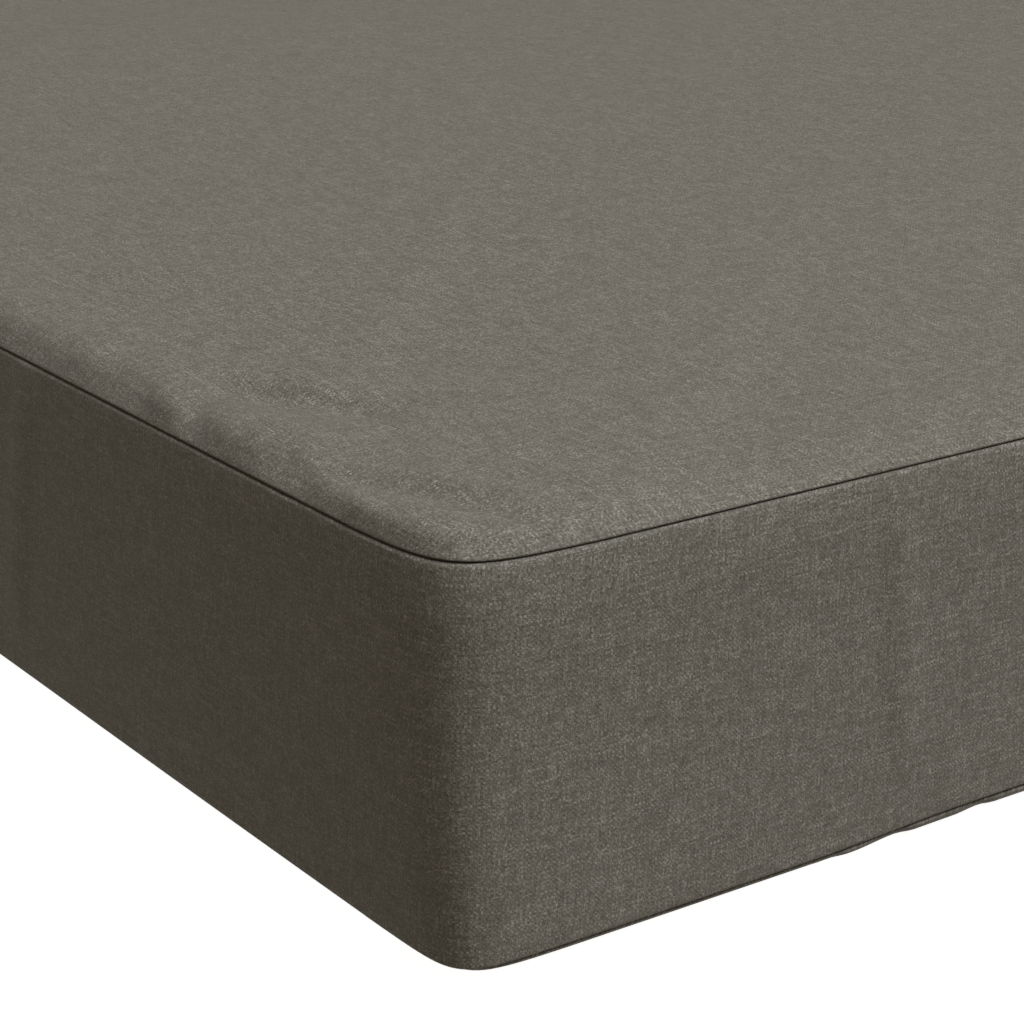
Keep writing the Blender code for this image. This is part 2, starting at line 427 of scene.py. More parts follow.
def scattered_lobes(rng, scatter, end):
    """Uneven lobes along a seam that doesn't show in full, in the manner of those that do."""
    lobes = []
    along = scatter.start
    while along < end:
        width = rng.uniform(*SCATTER_WIDTHS) * MM
        lobes.append(Lobe(along, width, scatter.tilt * rng.uniform(*SCATTER_TILTS)))
        along += scatter.step * rng.uniform(*SCATTER_STEPS)
    return lobes


def fine_gathers(rng, end):
    """Small gathers side by side along a seam."""
    lobes = []
    along = GATHER_START
    while along < end:
        width = rng.uniform(*GATHER_WIDTHS) * MM
        lobes.append(Lobe(along, width, radians(rng.uniform(*GATHER_TILTS))))
        along += rng.uniform(*GATHER_STEPS) * MM
    return lobes


def scattered_pinches(rng, start, end):
    """Uneven pinches along the part of the front that doesn't show."""
    pinches = []
    along = start
    while along < end:
        after = rng.uniform(*PINCH_AFTERS) * MM
        pinches.append(Pinch(along, 2 * after, after, rng.uniform(*PINCH_DEPTHS) * MM))
        along += rng.uniform(*PINCH_STEPS) * MM
    return pinches


def ripples(heights, axis):
    """What stands out when the heights are evened along one axis."""
    reach = 3 * RIPPLE_CELLS
    weights = np.exp(-0.5 * (np.arange(-reach, reach + 1) / RIPPLE_CELLS) ** 2)
    weights /= weights.sum()

    def evened(line):
        return np.convolve(np.pad(line, reach, mode="edge"), weights, mode="valid")

    return heights - np.apply_along_axis(evened, axis, heights)


def between(values, share):
    """The value between the middle two of four, on a smooth curve through them."""
    before, start, end, after = values
    leaving, arriving = (end - before) / 2, (after - start) / 2
    eased = share * share * (3 - 2 * share)
    leaving *= share * (1 - share) ** 2
    arriving *= share * share * (share - 1)
    return mix(start, end, eased) + leaving + arriving


class Gathers:
    """The top's soft gathers: a simulated panel, cut a little large, swells between its seams."""

    def __init__(self, sizes):
        self.sides = (sizes.length - 2 * PANEL_EDGE, sizes.depth - 2 * PANEL_EDGE)
        self.cells = [round(side / CLOTH_CELL) for side in self.sides]
        heights = self.simulated(self.laid_panel(sizes.crown))
        rows, columns = np.indices(heights.shape)
        from_ends, from_long_sides = (
            np.minimum(number, number.max() - number) + 0.5 for number in (columns, rows)
        )
        # Gathers run in from the nearest side, so they stand out along that side
        end_share = from_long_sides / (from_ends + from_long_sides)
        gathered = mix(ripples(heights, 1), ripples(heights, 0), end_share)
        limited = RIPPLE_LIMIT * np.tanh(RIPPLE_SHARE * gathered / RIPPLE_LIMIT)
        self.rises = np.pad(limited, 1, mode="edge").tolist()

    def laid_panel(self, crown):
        """The panel before it swells, laid over the crown, a little uneven and held by its edges."""
        rng = random.Random(UNEVENNESS_SEED)
        bm = bmesh.new()
        bmesh.ops.create_grid(bm, x_segments=self.cells[0], y_segments=self.cells[1], size=0.5)
        bmesh.ops.scale(bm, vec=(*self.sides, 1.0), verts=bm.verts)
        for vert in bm.verts:
            insets = [side / 2 - abs(place) for place, side in zip(vert.co, self.sides)]
            shares = [smooth_step(0.0, CROWN_INSET, inset) for inset in insets]
            if not vert.is_boundary:
                unevenness = rng.uniform(-START_UNEVENNESS, START_UNEVENNESS)
                vert.co.z = crown * shares[0] * shares[1] + unevenness
        held = [vert.index for vert in bm.verts if vert.is_boundary]
        mesh = bpy.data.meshes.new("simulated panel")
        bm.to_mesh(mesh)
        bm.free()
        panel = bpy.data.objects.new("simulated panel", mesh)
        bpy.context.scene.collection.objects.link(panel)
        panel.vertex_groups.new(name="seams").add(held, 1.0, "REPLACE")
        return panel

    def simulated(self, panel):
        """The heights of the swollen panel, in rows along its length. The panel is then taken away."""
        modifier = panel.modifiers.new("Cloth", "CLOTH")
        modifier.point_cache.frame_end = CLOTH_FRAMES
        modifier.settings.vertex_group_mass = "seams"
        modifier.settings.shrink_min = -LARGER_CUT
        modifier.settings.use_pressure = True
        modifier.settings.uniform_pressure_force = CLOTH_PRESSURE
        modifier.settings.effector_weights.gravity = 0.0
        for number in range(1, CLOTH_FRAMES + 1):
            bpy.context.scene.frame_set(number)
        swollen = panel.evaluated_get(bpy.context.evaluated_depsgraph_get()).data
        heights = [vert.co.z for vert in swollen.vertices]
        places = [(round(vert.co.y / CLOTH_CELL, 1), vert.co.x) for vert in panel.data.vertices]
        in_rows = [height for _, height in sorted(zip(places, heights))]
        bpy.context.scene.frame_set(1)
        mesh = panel.data
        bpy.data.objects.remove(panel)
        bpy.data.meshes.remove(mesh)
        return np.array(in_rows).reshape(self.cells[1] + 1, self.cells[0] + 1)

    def rise(self, x, y):
        """How far the gathers stand up at a place."""
        spots = []
        for place, side, cells in zip((x, y), self.sides, self.cells):
            spot = min(max((place / side + 0.5) * cells, 0.0), cells - 0.001)
            spots.append((int(spot), spot - int(spot)))
        (column, along), (row, across) = spots
        rows = [between(line[column : column + 4], along) for line in self.rises[row : row + 4]]
        return between(rows, across)


class Folds:
    """Every lobe, pinch, trough, ridge and gather of the cover."""

    def __init__(self, outline):
        rng = random.Random(SCATTER_SEED)
        self.outline = outline
        sizes = outline.sizes
        self.depth = sizes.depth
        lengths = {side.name: side.length for side in outline.sides}
        self.lobes = {
            name: scattered_lobes(rng, scatter, lengths[name] - SCATTER_END)
            for name, scatter in SCATTERS.items()
        }
        gathers = fine_gathers(rng, FINE_RUN)
        self.lobes["near end"] = [*NEAR_END_LOBES, *self.lobes["near end"], *gathers]
        first = FRONT_PINCHES[-1].along + PINCH_GAP
        self.pinches = [*FRONT_PINCHES, *scattered_pinches(rng, first, sizes.length - PINCH_END)]
        self.gathers = Gathers(sizes)

    def from_near_corner(self, station):
        """A station's side, and its distance from the near corner or from the side's own start."""
        name, along = self.outline.run_of(station)
        return name, self.depth - along if name == "near end" else along

    def steepening(self, station):
        """How much steeper than usual the rolled edge rises at a station."""
        name, along = self.from_near_corner(station)
        return sum(
            lobe.tilt * bell(along - lobe.along, lobe.half_width)
            for lobe in self.lobes[name]
            if abs(along - lobe.along) < LOBE_REACH
        )

    def rest_seam(self, station):
        """How far behind the face the underside starts at a station, and how much higher its seam is."""
        name, along = self.from_near_corner(station)
        end_share = self.outline.end_share(station)
        tuck = mix(LONG_TUCK, REST_TUCK + END_TUCK, end_share)
        raised = LONG_SEAM_RISE * (1 - end_share)
        if name != "front":
            return tuck, raised
        from_corners = min(along, self.outline.sizes.length - along) - SCALLOP_START
        scalloped = smooth_step(-SCALLOP_EASE, SCALLOP_EASE, from_corners)
        pinched = 0.0
        for pinch in self.pinches:
            reach = pinch.before if along < pinch.along else pinch.after
            nearness = smooth_step(reach, 0.0, abs(along - pinch.along))
            pinched = max(pinched, pinch.depth * nearness)
        raised += SCALLOP_SEAM_RISE * smooth_step(-SCALLOP_EASE, SCALLOP_RISE_RUN, from_corners)
        return mix(tuck, SCALLOP_TUCK + pinched, scalloped), raised

    def band_lift(self, station, height):
        """How far the band's face stands out at a station and height, over its even face."""
        name, along = self.from_near_corner(station)
        lift = 0.0
        for ridge in RIDGES:
            if ridge.run != name:
                continue
            share = (height - ridge.low[1]) / (ridge.high[1] - ridge.low[1])
            offset = along - mix(ridge.low[0], ridge.high[0], share)
            width = ridge.near_width if offset < 0 else ridge.far_width
            fade = smooth_step(-RIDGE_FADE, RIDGE_FADE, height - ridge.low[1])
            fade *= smooth_step(-RIDGE_FADE, RIDGE_FADE, ridge.high[1] - height)
            lift += ridge.lift * fade * bell(offset, width)
        return lift

    def top_sag(self, x, y):
        """How far the crown dips at a place, in its troughs and between its gathers."""
        sizes = self.outline.sizes
        place = Vector((x + sizes.length / 2, y + sizes.depth / 2))
        sag = -self.gathers.rise(x, y)
        for trough in TROUGHS:
            offset, share = nearest_on_route(place, [Vector(point) * MM for point in trough.points])
            width = trough.left_width if offset > 0 else trough.right_width
            if abs(offset) < TROUGH_REACH * width:
                ends = smooth_step(0.0, TROUGH_FADE, share) * smooth_step(0.0, TROUGH_FADE, 1 - share)
                sag += trough.depth * ends * bell(offset, width)
        return sag


def nearest_on_route(place, points):
    """How far a place lies to the left of a route of straight legs, and the share of the route there."""
    nearest = (1e9, 0.0, 0.0)
    legs = len(points) - 1
    for leg in range(legs):
        start, end = points[leg], points[leg + 1]
        run = end - start
        share = min(max((place - start).dot(run) / run.length_squared, 0.0), 1.0)
        away = place - (start + run * share)
        side = 1.0 if run.x * away.y - run.y * away.x > 0 else -1.0
        nearest = min(nearest, (away.length, side, (leg + share) / legs))
    distance, side, share = nearest
    return distance * side, share


# ---------------------------------------------------------------- profiles
# A profile is a walk in from the seam: tilt is its heading, pi outwards, pi / 2 upwards and 0 inwards
LIP_STEPS = 6
BOTTOM_LIP_STEPS = 5
FACE_STEPS = 22
LEAN_STEPS = 6
SLOPE_STEPS = 3
BEND_STEPS = 9
WIDE_BEND_STEPS = 6
Leg = namedtuple("Leg", "length start end count")
Step = namedtuple("Step", "inset rise tilt arc")


def walk(inset, rise, legs):
    """The steps along arcs and straight legs that start at this inset and rise."""
    steps = [Step(inset, rise, legs[0].start, 0.0)]
    for leg in legs:
        turn = (leg.end - leg.start) / leg.count
        stride = leg.length / leg.count
        chord = stride if turn == 0 else stride * sin(turn / 2) / (turn / 2)
        for number in range(leg.count):
            last = steps[-1]
            heading = leg.start + turn * (number + 0.5)
            inset = last.inset + chord * cos(heading)
            rise = last.rise + chord * sin(heading)
            steps.append(Step(inset, rise, heading + turn / 2, last.arc + stride))
    return steps


def behind(step, depth):
    """The (inset, rise) that lies this deep under a step."""
    return step.inset + depth * sin(step.tilt), step.rise - depth * cos(step.tilt)


def band_lip(share):
    """The radius of the band's upper lip, by how far a station is on an end."""
    return mix(FRONT_BAND_LIP, END_BAND_LIP, share)


def band_profile(sizes, share):
    """The band's face from its bottom seam up to its top seam."""
    lip = band_lip(share)
    lean = 2 * BAND_LEAN / LEAN_HEIGHT
    top_lip_rise = lip * (1 - sin(lean))
    face = sizes.band_height - SEAM_GAP - END_BAND_LIP - LEAN_HEIGHT - top_lip_rise
    return walk(
        END_BAND_LIP,
        SEAM_GAP / 2,
        (
            Leg(END_BAND_LIP * pi / 2, pi, pi / 2, BOTTOM_LIP_STEPS),
            Leg(face, pi / 2, pi / 2, FACE_STEPS),
            Leg(LEAN_HEIGHT, pi / 2, pi / 2 - lean, LEAN_STEPS),
            Leg(lip * (pi / 2 - lean), pi / 2 - lean, 0.0, LIP_STEPS),
        ),
    )


def top_profile(roll, share, steeper):
    """The rolled edge of the top from the seam to the crown. Where it is steeper, it bends tighter."""
    height = roll.slope * sin(roll.tilt) + roll.bend * (cos(roll.eased) - cos(roll.tilt))
    tilt = roll.tilt + steeper
    bend = (height - roll.slope * sin(tilt)) / (cos(roll.eased) - cos(tilt))
    legs = (
        Leg(PANEL_LIP * (pi - tilt), pi, tilt, LIP_STEPS),
        Leg(roll.slope, tilt, tilt, SLOPE_STEPS),
        Leg(bend * (tilt - roll.eased), tilt, roll.eased, BEND_STEPS),
        Leg(roll.wide_bend * (roll.eased - ROLL_SLOPE), roll.eased, ROLL_SLOPE, WIDE_BEND_STEPS),
    )
    return walk(BAND_LEAN + band_lip(share), SEAM_GAP / 2, legs)


def crown_offsets():
    """How far each ring of the crown lies inside the rolled edge."""
    offsets = []
    gap = CROWN_FINE_GAP
    offset = 0.0
    while offset + gap < LAST_INSET - ROLL_REACH - LEAST_GAP:
        offset += gap
        offsets.append(offset)
        if len(offsets) >= CROWN_FINE_RINGS:
            gap *= CROWN_GROWTH
    return offsets + [LAST_INSET - ROLL_REACH]


# ---------------------------------------------------------------- skins
Spot = namedtuple("Spot", "place cloth")  # a place on the cushion, and its place on the flat cloth


def turned(place):
    """A place on a panel whose warp runs the other way."""
    return place[1], -place[0]


def place_ring(ring, spots, cloth_place):
    """Moves the verts of a ring to their places, and keeps their places on the cloth."""
    for vert, spot in zip(ring, spots):
        vert.co = spot.place
        vert[cloth_place] = (*spot.cloth, 0.0)


def edges_of(bm, ring):
    """The edges that join the verts of a closed ring, in order."""
    return [bm.edges.get(pair) for pair in zip(ring, ring[1:] + ring[:1])]


def extruded_ring(bm, ring):
    """The new ring that an extrusion grows from this one, in the same order."""
    grown = set(bmesh.ops.extrude_edge_only(bm, edges=edges_of(bm, ring))["geom"])
    risers = [next(edge for edge in vert.link_edges if edge.other_vert(vert) in grown) for vert in ring]
    return [riser.other_vert(vert) for riser, vert in zip(risers, ring)]


def cut_into_cells(bm, cap, length, depth):
    """Cuts a flat cap into even cells, so that it can follow the crown."""
    geom = [cap, *cap.edges, *cap.verts]
    for axis, size in ((0, length), (1, depth)):
        count = round(size / MIDDLE_CELL)
        for number in range(1, count):
            normal = Vector((1, 0, 0)) if axis == 0 else Vector((0, 1, 0))
            point = normal * (number / count - 0.5) * size
            cut = bmesh.ops.bisect_plane(bm, geom=geom, dist=1e-5, plane_co=point, plane_no=normal)
            geom = list({*cut["geom"], *cut["geom_cut"]})


def closed_skin(rings):
    """A closed bmesh whose skin joins the rings in order, capped at both ends."""
    bm = bmesh.new()
    cloth_place = bm.verts.layers.float_vector.new("cloth place")
    ring = bmesh.ops.create_circle(bm, segments=len(rings[0]), radius=1.0, cap_ends=True)["verts"]
    caps = list(bm.faces)
    place_ring(ring, rings[0], cloth_place)
    for spots in rings[1:]:
        ring = extruded_ring(bm, ring)
        place_ring(ring, spots, cloth_place)
    caps += bmesh.ops.contextual_create(bm, geom=edges_of(bm, ring))["faces"]
    for cap in caps:
        spread = [max(v.co[k] for v in cap.verts) - min(v.co[k] for v in cap.verts) for k in range(2)]
        cut_into_cells(bm, cap, *spread)
    bmesh.ops.recalc_face_normals(bm, faces=bm.faces)
    return bm


def lay_out_cloth(bm, girth=None):
    """Gives each face its place on the flat cloth, as a UV map in metres."""
    cloth_place = bm.verts.layers.float_vector["cloth place"]
    flat = bm.loops.layers.uv.new("Flat cloth")
    for face in bm.faces:
        across = [loop.vert[cloth_place].x for loop in face.loops]
        joined = girth is not None and max(across) - min(across) > girth / 2
        for loop, along in zip(face.loops, across):
            shift = girth if joined and along < girth / 2 else 0.0
            loop[flat].uv = (along + shift, loop.vert[cloth_place].y)
    bm.verts.layers.float_vector.remove(cloth_place)


def finished_piece(name, bm, material):
    """A smooth object in the scene that takes up this bmesh."""
    mesh = bpy.data.meshes.new(name)
    bm.to_mesh(mesh)
    bm.free()
    mesh.shade_smooth()
    mesh.materials.append(material)
    piece = bpy.data.objects.new(name, mesh)
    bpy.context.scene.collection.objects.link(piece)
    return piece


# ---------------------------------------------------------------- pieces
class Pattern:
    """Works out the rings of every piece from the outline, the folds and the profiles."""

    def __init__(self, sizes):
        self.sizes = sizes
        self.outline = Outline(sizes)
        self.folds = Folds(self.outline)
        self.shares = [self.outline.end_share(station) for station in self.outline.stations]
        steeper = [self.folds.steepening(station) for station in self.outline.stations]
        rolls = [self.outline.roll(station) for station in self.outline.stations]
        self.tops = [top_profile(*parts) for parts in zip(rolls, self.shares, steeper)]
        self.bands = [band_profile(sizes, share) for share in self.shares]
        self.rests = [self.folds.rest_seam(station) for station in self.outline.stations]
        self.top_seam = SEAM_LIFT + sizes.band_height

    def per_station(self, profiles):
        """The stations, each with its profile."""
        return zip(self.outline.stations, profiles)

    def top_ring(self, index, depth):
        """A ring of the top's rolled edge, this deep under its face."""
        ring = []
        for station, steps in self.per_station(self.tops):
            step = steps[index]
            inset, rise = behind(step, depth)
            flat_inset = steps[-1].inset - (steps[-1].arc - step.arc)
            cloth = turned(self.outline.point(station, flat_inset))
            ring.append(Spot((*self.outline.point(station, inset), self.top_seam + rise), cloth))
        return ring

    def top_base_ring(self, depth, rise):
        """The ring where a layer this deep under the rolled edge starts, level with the seam."""
        ring = []
        for station, steps in self.per_station(self.tops):
            step = steps[LIP_STEPS]
            inset, low = behind(step, depth)
            inset += (rise - low) / tan(step.tilt)
            place = (*self.outline.point(station, inset), self.top_seam + rise)
            cloth = turned(self.outline.point(station, steps[-1].inset - steps[-1].arc))
            ring.append(Spot(place, cloth))
        return ring

    def crown_ring(self, offset, depth):
        """A ring of the crown, this far inside the rolled edge and this deep under its face."""
        ring = []
        for station, steps in self.per_station(self.tops):
            end = steps[-1]
            inset = end.inset + offset
            rise = mix(end.rise, self.sizes.crown, smooth_step(end.inset, CROWN_INSET, inset))
            spot = self.outline.point(station, inset)
            ring.append(Spot((*spot, self.top_seam + rise - depth), turned(spot)))
        return ring

    def top_layer(self, indices, offsets, depth):
        """Rings of the rolled edge and of the crown, this deep under their face."""
        rolled = [self.top_ring(index, depth) for index in indices]
        return rolled + [self.crown_ring(offset, depth) for offset in offsets]

    def inner_top(self, depth, rise):
        """The layer this deep under the top, which starts at this rise over the seam."""
        indices = range(LIP_STEPS + SLOPE_STEPS, len(self.tops[0]), INNER_STRIDE)
        offsets = crown_offsets()
        kept = offsets[INNER_STRIDE - 1 :: INNER_STRIDE] + offsets[-1:]
        return [self.top_base_ring(depth, rise), *self.top_layer(indices, kept, depth)]

    def rest_ring(self, angle, cover, seam_gap, lead=0.0):
        """A ring of the underside, from its seam at 0 degrees to the floor at 90."""
        turn = radians(angle)
        ring = []
        for station, (tuck, raised) in self.per_station(self.rests):
            seam = SEAM_LIFT + raised
            inset = tuck + cover + lead + (REST_ROLL_WIDTH - cover) * (1 - cos(turn))
            drop = seam_gap + (seam - cover - seam_gap) * sin(turn)
            spot = self.outline.point(station, inset, 0.0)
            unrolled = tuck + cover + (REST_ROLL_WIDTH - cover) * (1 - cos(turn)) * REST_FLAT_SHARE
            ring.append(Spot((*spot, seam - drop), self.outline.point(station, unrolled, 0.0)))
        return ring

    def rest_level_ring(self, inset, height):
        """A ring of the flat part of the underside."""
        spots = [self.outline.point(station, inset, 0.0) for station in self.outline.stations]
        return [Spot((*spot, height), spot) for spot in spots]

    def inner_rest(self, depth, seam_gap):
        """The layer this deep inside the underside."""
        rolled = [self.rest_ring(angle, depth, seam_gap) for angle in INNER_REST_ANGLES]
        return rolled + [self.rest_level_ring(inset, depth) for inset in INNER_REST_INSETS]

    def band_ring(self, index):
        """A ring of the band's face."""
        ring = []
        height = self.bands[0][index].rise / self.sizes.band_height
        places = self.outline.places_at(height)
        for (station, steps), place, (_, raised) in zip(self.per_station(self.bands), places, self.rests):
            step = steps[index]
            rise = step.rise + raised * (1 - height)
            foot = max(1 - step.rise / TUCK_HEIGHT, 0.0) ** 2 * self.outline.end_share(station)
            inset = step.inset + END_TUCK * foot - self.folds.band_lift(station, step.rise)
            spot = self.outline.point(station, inset, height)
            ring.append(Spot((*spot, SEAM_LIFT + rise), (place, step.arc)))
        return ring

    def sag(self, bm):
        """Lowers the crown by its troughs and gathers, and leaves the seams as they are."""
        for vert in bm.verts:
            weight = smooth_step(self.top_seam + SAG_START, self.top_seam + SAG_FULL, vert.co.z)
            if weight > 0:
                vert.co.z -= weight * self.folds.top_sag(vert.co.x, vert.co.y)


def sew_top_panel(pattern, material):
    """The top panel: its face from the middle out to the seam, and its underside back again."""
    face = pattern.top_layer(range(len(pattern.tops[0])), crown_offsets(), 0.0)
    bm = closed_skin(face[::-1] + pattern.inner_top(PANEL_CLOTH, SEAM_GAP / 2))
    pattern.sag(bm)
    lay_out_cloth(bm)
    return finished_piece("top_panel_cloth", bm, material)


def sew_bottom_panel(pattern, material):
    """The bottom panel, flat where it rests."""
    gap = SEAM_GAP / 2
    face = [pattern.rest_ring(angle, 0.0, gap, REST_LEADS.get(angle, 0.0)) for angle in REST_ANGLES]
    face += [pattern.rest_level_ring(inset, 0.0) for inset in REST_INSETS]
    bm = closed_skin(face[::-1] + pattern.inner_rest(PANEL_CLOTH, gap))
    lay_out_cloth(bm)
    return finished_piece("bottom_panel_cloth", bm, material)


def fill_boxed_body(pattern, material):
    """The filled body, whose sides are the band. Its top and underside lie under the panels."""
    cover = PANEL_CLOTH + BODY_CLEARANCE
    under = pattern.inner_rest(cover, -SEAM_GAP / 2)
    band = [pattern.band_ring(index) for index in range(len(pattern.bands[0]))]
    bm = closed_skin(under[::-1] + band + pattern.inner_top(cover, -SEAM_GAP / 2))
    pattern.sag(bm)
    lay_out_cloth(bm, pattern.outline.girth)
    return finished_piece("boxed_body_cloth", bm, material)


# ---------------------------------------------------------------- materials
def add_node(tree, kind, inputs=None, **settings):
    """Adds a node with its settings, and sets or links its inputs. A node stands for its first output."""
    node = tree.nodes.new("ShaderNode" + kind)
    for name, value in settings.items():
        setattr(node, name, value)
    for key, value in (inputs or {}).items():
        if isinstance(value, bpy.types.Node):
            value = value.outputs[0]
        if isinstance(value, bpy.types.NodeSocket):
            tree.links.new(value, node.inputs[key])
        else:
            node.inputs[key].default_value = value
    return node


def melange_weave(cloth):
    """A plain weave of mixed taupe yarns.

    Each thread has a shade of its own that drifts along it, so that the cloth looks cross-hatched from
    near and an even warm grey from afar. Rough, with the faint sheen of short fibres.
    """
    material = bpy.data.materials.new("Linen-cotton plain weave, taupe melange")
    material.use_nodes = True
    tree = material.node_tree
    tree.nodes.clear()
    add = partial(add_node, tree)
    flat = add("UVMap", uv_map="Flat cloth")
    # Threads wander over about 12 mm, mostly by less than a third of their pitch
    noise = add("TexNoise", {"Vector": flat, "Scale": 1 / 0.012, "Detail": 1.0}).outputs["Color"]
    wander = add("VectorMath", {0: noise, 1: (1.2, 1.2, 0.0), 2: (-0.6, -0.6, 0.0)}, operation="MULTIPLY_ADD")
    counts = (1 / cloth.warp_pitch, 1 / cloth.weft_pitch, 0.0)
    threads = add("VectorMath", {0: flat, 1: counts, 2: wander}, operation="MULTIPLY_ADD")
    crossing = add("VectorMath", {0: threads}, operation="FLOOR")
    numbers = add("SeparateXYZ", {0: crossing}).outputs
    places = add("SeparateXYZ", {0: threads}).outputs
    both = add("Math", {0: numbers["X"], 1: numbers["Y"]}, operation="ADD")
    over = add("Math", {0: both, 1: 2.0}, operation="FLOORED_MODULO")

    # Warp and weft pass over by turns, and the twist of the yarn favours one diagonal
    waves = []
    for kind in ("ADD", "SUBTRACT"):
        steps = add("Math", {0: places["X"], 1: places["Y"]}, operation=kind)
        turn = add("Math", {0: steps, 1: pi}, operation="MULTIPLY")
        waves.append(add("Math", {0: turn}, operation="COSINE"))
    relief = add("Math", {0: waves[1], 1: 0.35}, operation="MULTIPLY")
    relief = add("Math", {0: waves[0], 1: -0.65, 2: relief}, operation="MULTIPLY_ADD")

    # Each thread's own shade drifts along it over about 6 mm on the warp and 8 mm on the weft. Here and
    # there a thread is thick and light, in slubs of 6 to 10 mm on the weft and shorter on the warp. Its
    # fibres are light and dark dashes, a third of its width and one crossing long
    shades = []
    for across, along, drift, seed, slub_lift, fibres in (
        ("X", "Y", 0.07, 3.7, 0.32, (3.0, 1.0, 1.0)),
        ("Y", "X", 0.05, 91.3, 0.50, (1.0, 3.0, 1.0)),
    ):
        line = add("Math", {0: numbers[across], 1: 7.31, 2: seed}, operation="MULTIPLY_ADD")
        course = add("Math", {0: places[along], 1: drift}, operation="MULTIPLY")
        spot = add("CombineXYZ", {0: line, 1: course})
        shade = add(
            "TexNoise",
            {"Vector": spot, "Scale": 1.0, "Detail": 2.0, "Roughness": 0.6},
            noise_dimensions="2D",
        )
        slub_spot = add(
            "VectorMath",
            {0: spot, 1: (0.71, 0.9, 0.0), 2: (17.3, 40.1, 0.0)},
            operation="MULTIPLY_ADD",
        )
        slub = add("TexNoise", {"Vector": slub_spot, "Scale": 1.0}, noise_dimensions="2D")
        slub = add("MapRange", {"Value": slub, "From Min": 0.66, "From Max": 0.80, "To Max": slub_lift})
        shade = add("Math", {0: shade, 1: slub}, operation="ADD")
        fibre = add("VectorMath", {0: threads, 1: fibres}, operation="MULTIPLY")
        fibre = add("VectorMath", {0: fibre}, operation="FLOOR")
        fibre = add("TexWhiteNoise", {"Vector": fibre}, noise_dimensions="2D")
        fibre = add("Math", {0: fibre, 1: 0.8, 2: -0.40}, operation="MULTIPLY_ADD")
        shades.append(add("Math", {0: shade, 1: fibre}, operation="ADD"))
    shade = add("Mix", {0: over, 2: shades[1], 3: shades[0]}, data_type="FLOAT")
    shade = add("Math", {0: shade, 1: 0.62, 2: 0.19}, operation="MULTIPLY_ADD")
    yarn = add("ValToRGB", {0: shade})
    stops = yarn.color_ramp.elements
    stops[0].position, stops[0].color = 0.22, linear(YARN_COLOURS["darkest"])
    stops[1].position, stops[1].color = 0.80, linear(YARN_COLOURS["lightest"])
    stops.new(0.42).color = linear(YARN_COLOURS["taupe"])
    stops.new(0.60).color = linear(YARN_COLOURS["grey"])
    # Painted shade: the gaps between threads are darkened in the colour, and through the bump they also catch
    # the light a little
    shadow = add("Math", {0: relief, 1: 0.068, 2: 0.93}, operation="MULTIPLY_ADD")
    colour = add("VectorMath", {0: yarn, "Scale": shadow}, operation="SCALE")
    bump = add("Bump", {"Height": relief, "Distance": 0.00003, "Strength": 0.3})
    shader = add(
        "BsdfPrincipled",
        {
            "Base Color": colour,
            "Roughness": 0.9,
            "Specular IOR Level": 0.2,
            "Sheen Weight": 0.12,
            "Sheen Roughness": 0.5,
            "Normal": bump,
        },
    )
    add("OutputMaterial", {"Surface": shader})
    return material


def painted_floor():
    """A matt white studio floor, which shows almost no shadow."""
    material = bpy.data.materials.new("Matt white studio paint")
    material.use_nodes = True
    shader = material.node_tree.nodes["Principled BSDF"]
    shader.inputs["Base Color"].default_value = linear("#c8c8c6")
    shader.inputs["Roughness"].default_value = 0.95
    shader.inputs["Specular IOR Level"].default_value = 0.0
    shader.inputs["Emission Color"].default_value = linear("#ffffff")
    shader.inputs["Emission Strength"].default_value = 0.97
    return material


# ---------------------------------------------------------------- stage
def lay_floor():
    """A floor whose own brightness stays off the cushion."""
    bm = bmesh.new()
    bmesh.ops.create_grid(bm, x_segments=1, y_segments=1, size=FLOOR_REACH)
    floor_piece = finished_piece("studio_floor", bm, painted_floor())
    floor_piece.visible_diffuse = False


def hang_key_light(studio):
    """A large soft light above the front, a little to the right."""
    light = bpy.data.lights.new("key light", "AREA")
    light.shape = "SQUARE"
    light.size = KEY_SIZE
    light.energy = studio.key_power
    lamp = bpy.data.objects.new("key light", light)
    towards = Vector(KEY_DIRECTION).normalized()
    lamp.location = Vector(KEY_AIM) + towards * KEY_DISTANCE
    lamp.rotation_euler = towards.to_track_quat("Z", "Y").to_euler()
    bpy.context.scene.collection.objects.link(lamp)


def fill_with_light(studio):
    """An even fill from all round. Beyond the floor, the camera sees a white backdrop."""
    world = bpy.data.worlds.new("even studio light")
    world.use_nodes = True
    tree = world.node_tree
    fill = tree.nodes["Background"]
    fill.inputs["Color"].default_value = linear(FILL_COLOUR)
    fill.inputs["Strength"].default_value = studio.fill_strength
    add = partial(add_node, tree)
    backdrop = add("Background", {"Color": linear("#ffffff"), "Strength": 1.0})
    seen = add("LightPath").outputs["Is Camera Ray"]
    both = add("MixShader", {0: seen, 1: fill, 2: backdrop})
    tree.links.new(both.outputs[0], tree.nodes["World Output"].inputs["Surface"])
    bpy.context.scene.world = world


def set_camera(sizes, studio):
    """The camera looks down on the near corner along a line that was fitted to the seams."""
    camera = bpy.data.objects.new("camera", bpy.data.cameras.new("camera"))
    camera.data.sensor_width = 36.0
    camera.data.lens = studio.focal_length
    camera.data.clip_start = 0.02
    camera.data.clip_end = 100.0
    level = cos(CAMERA_PITCH)
    forward = Vector((sin(CAMERA_YAW) * level, cos(CAMERA_YAW) * level, -sin(CAMERA_PITCH)))
    near_corner = Vector((-sizes.length / 2, -sizes.depth / 2, SEAM_LIFT))
    camera.location = near_corner + Vector(CAMERA_FROM_CORNER)
    camera.rotation_mode = "QUATERNION"
    camera.rotation_quaternion = forward.to_track_quat("-Z", "Y")
    bpy.context.scene.collection.objects.link(camera)
    bpy.context.scene.camera = camera


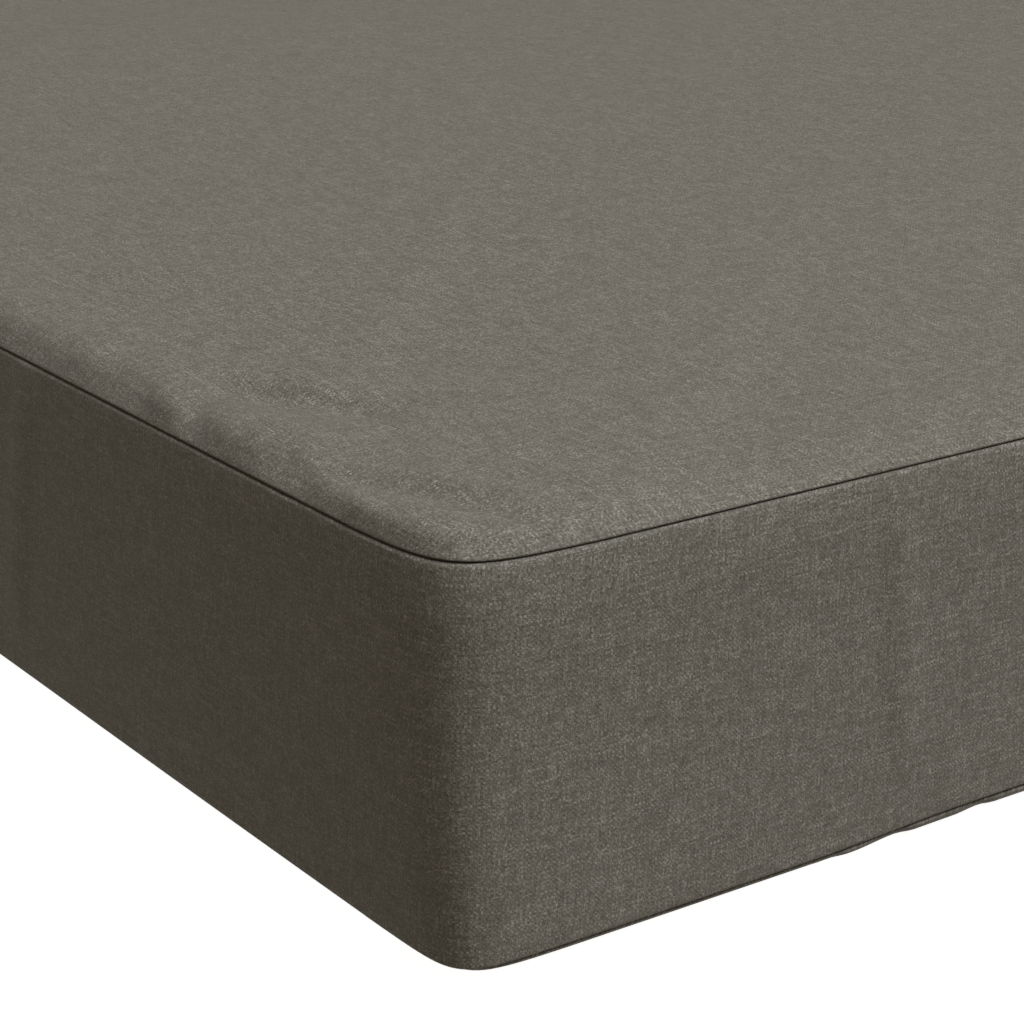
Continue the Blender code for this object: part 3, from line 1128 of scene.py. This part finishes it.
# ---------------------------------------------------------------- operators
shared = {}  # the pattern and the cloth, made once and used for every piece


def pattern_of(scene):
    if "pattern" not in shared:
        shared["pattern"] = Pattern(scene.cushion_sizes)
    return shared["pattern"]


def cloth_of(scene):
    if "cloth" not in shared:
        shared["cloth"] = melange_weave(scene.cushion_cloth)
    return shared["cloth"]


class CUSHION_OT_boxed_body(bpy.types.Operator):
    """Fill the body and close it with the boxing band"""

    bl_idname = "cushion.boxed_body"
    bl_label = "Fill boxed body"

    def execute(self, context):
        body = fill_boxed_body(pattern_of(context.scene), cloth_of(context.scene))
        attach(body, "root")
        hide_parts("boxed_body")
        return {"FINISHED"}


class CUSHION_OT_top_panel(bpy.types.Operator):
    """Sew on the crowned top panel"""

    bl_idname = "cushion.top_panel"
    bl_label = "Sew top panel"

    def execute(self, context):
        panel = sew_top_panel(pattern_of(context.scene), cloth_of(context.scene))
        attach(panel, "root")
        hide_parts("top_panel")
        return {"FINISHED"}


class CUSHION_OT_bottom_panel(bpy.types.Operator):
    """Sew on the bottom panel"""

    bl_idname = "cushion.bottom_panel"
    bl_label = "Sew bottom panel"

    def execute(self, context):
        panel = sew_bottom_panel(pattern_of(context.scene), cloth_of(context.scene))
        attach(panel, "root")
        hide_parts("bottom_panel")
        return {"FINISHED"}


class CUSHION_OT_stage(bpy.types.Operator):
    """Lay the floor, hang the lights and set the camera"""

    bl_idname = "cushion.stage"
    bl_label = "Set up studio"

    def execute(self, context):
        studio = context.scene.cushion_studio
        lay_floor()
        hang_key_light(studio)
        fill_with_light(studio)
        set_camera(context.scene.cushion_sizes, studio)
        context.scene.view_settings.view_transform = "Standard"
        return {"FINISHED"}


class CUSHION_PT_panel(bpy.types.Panel):
    """The cushion's sizes, cloth and studio"""

    bl_idname = "CUSHION_PT_panel"
    bl_label = "Bench cushion"
    bl_space_type = "VIEW_3D"
    bl_region_type = "UI"
    bl_category = "Cushion"

    def draw(self, context):
        for group_name in GROUPS:
            group = getattr(context.scene, group_name)
            box = self.layout.box()
            for name in group.bl_rna.properties.keys():
                if name not in ("rna_type", "name"):
                    box.prop(group, name)
        for operator in OPERATORS:
            self.layout.operator(operator.bl_idname)


GROUPS = {
    "cushion_sizes": CushionSizes,
    "cushion_cloth": CushionCloth,
    "cushion_studio": CushionStudio,
}
OPERATORS = (
    CUSHION_OT_stage,
    CUSHION_OT_boxed_body,
    CUSHION_OT_top_panel,
    CUSHION_OT_bottom_panel,
)


def register():
    for name, group in GROUPS.items():
        bpy.utils.register_class(group)
        setattr(bpy.types.Scene, name, bpy.props.PointerProperty(type=group))
    for entry in (*OPERATORS, CUSHION_PT_panel):
        bpy.utils.register_class(entry)


def unregister():
    for entry in (CUSHION_PT_panel, *reversed(OPERATORS)):
        bpy.utils.unregister_class(entry)
    for name, group in reversed(GROUPS.items()):
        delattr(bpy.types.Scene, name)
        bpy.utils.unregister_class(group)


def main():
    register()
    bpy.ops.cushion.stage()
    bpy.ops.cushion.boxed_body()
    bpy.ops.cushion.top_panel()
    bpy.ops.cushion.bottom_panel()


if __name__ == "__main__":
    main()
